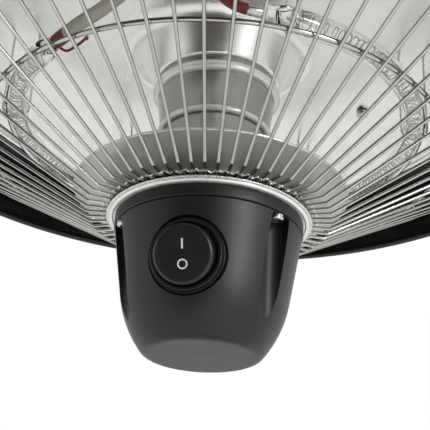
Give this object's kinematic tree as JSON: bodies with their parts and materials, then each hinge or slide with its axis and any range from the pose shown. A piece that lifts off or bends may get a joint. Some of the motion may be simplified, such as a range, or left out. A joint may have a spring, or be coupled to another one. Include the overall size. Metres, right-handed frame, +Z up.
{
  "type": "hanging_patio_heater",
  "caption": "Hanging patio heater: domed black hood on a wire bail, ring lamp under a spun reflector, sloping wire guard, and a black cup with a rocker switch below.",
  "frame": {"origin": "underside of the bail's top, where a hook or chain link carries the heater", "axes": "+Z up along the heater's turned axis, -Y out of the switch's face, +X along the bail's pivot"},
  "size_m": [0.425, 0.425, 0.3223],
  "materials": {
    "black_enamel": "satin black enamel on steel sheet",
    "zinc_plate": "bright zinc plate",
    "guard_chrome": "bright plated wire",
    "reflector_aluminium": "bright spun aluminium",
    "stem_aluminium": "satin spun aluminium",
    "shield_steel": "bare rolled sheet",
    "quartz": "clear quartz",
    "filament_wire": "drawn wire",
    "black_plastic": "fine moulded grain",
    "rocker_plastic": "smooth moulded",
    "white_plastic": "smooth moulded",
    "black_rubber": "matte",
    "red_silicone": "silicone sleeve",
    "grey_sleeve": "woven glass sleeve",
    "brass": "bare"
  },
  "bodies": {
    "hanger": {"hanging_bail": "zinc_plate", "bail_push_nuts": "zinc_plate"},
    "rocker": {"rocker": "rocker_plastic"},
    "heater": {"hanger_bracket": "zinc_plate", "bracket_screws": "zinc_plate", "bracket_nuts": "zinc_plate", "hood": "black_enamel", "tie_rod": "zinc_plate", "tie_rod_nuts": "zinc_plate", "tie_rod_washers": "zinc_plate", "upper_spacer": "stem_aluminium", "reflector": "reflector_aluminium", "upper_stem": "stem_aluminium", "lower_stem": "stem_aluminium", "heat_shield": "shield_steel", "shield_spacer": "stem_aluminium", "lamp_tube": "quartz", "lamp_filament": "filament_wire", "lamp_clips": "zinc_plate", "earth_screw": "zinc_plate", "earth_washer": "zinc_plate", "earth_nut": "zinc_plate", "lead_crimps": "zinc_plate", "lamp_lead_right": "red_silicone", "lamp_lead_left": "grey_sleeve", "lead_grommets": "black_rubber", "switch_cable": "black_rubber", "terminal_block": "white_plastic", "terminal_block_screws": "zinc_plate", "cable_gland": "black_plastic", "gland_nut": "black_plastic", "guard_wires": "guard_chrome", "guard_hoop": "guard_chrome", "guard_outer_ring": "guard_chrome", "guard_base_ring": "guard_chrome", "guard_weld_ring": "guard_chrome", "guard_clips": "zinc_plate", "guard_clip_screws": "zinc_plate", "switch_collar": "black_plastic", "switch_cup": "black_plastic", "cup_screws": "zinc_plate", "switch_seal": "black_rubber", "switch_body": "black_plastic", "switch_terminals": "brass", "terminal_boot": "white_plastic", "switch_bezel": "rocker_plastic"}
  },
  "joints": [
    {"name": "heater_swing", "type": "hinge", "parent": "hanger", "child": "heater", "pos_m": [0, 0, -0.051], "axis": [1, 0, 0], "range_deg": [-90, 90]},
    {"name": "rocker_press", "type": "hinge", "parent": "heater", "child": "rocker", "pos_m": [0, -0.04256, -0.28034], "axis": [-1, 0, 0], "range_deg": [0, 20]}
  ]
}
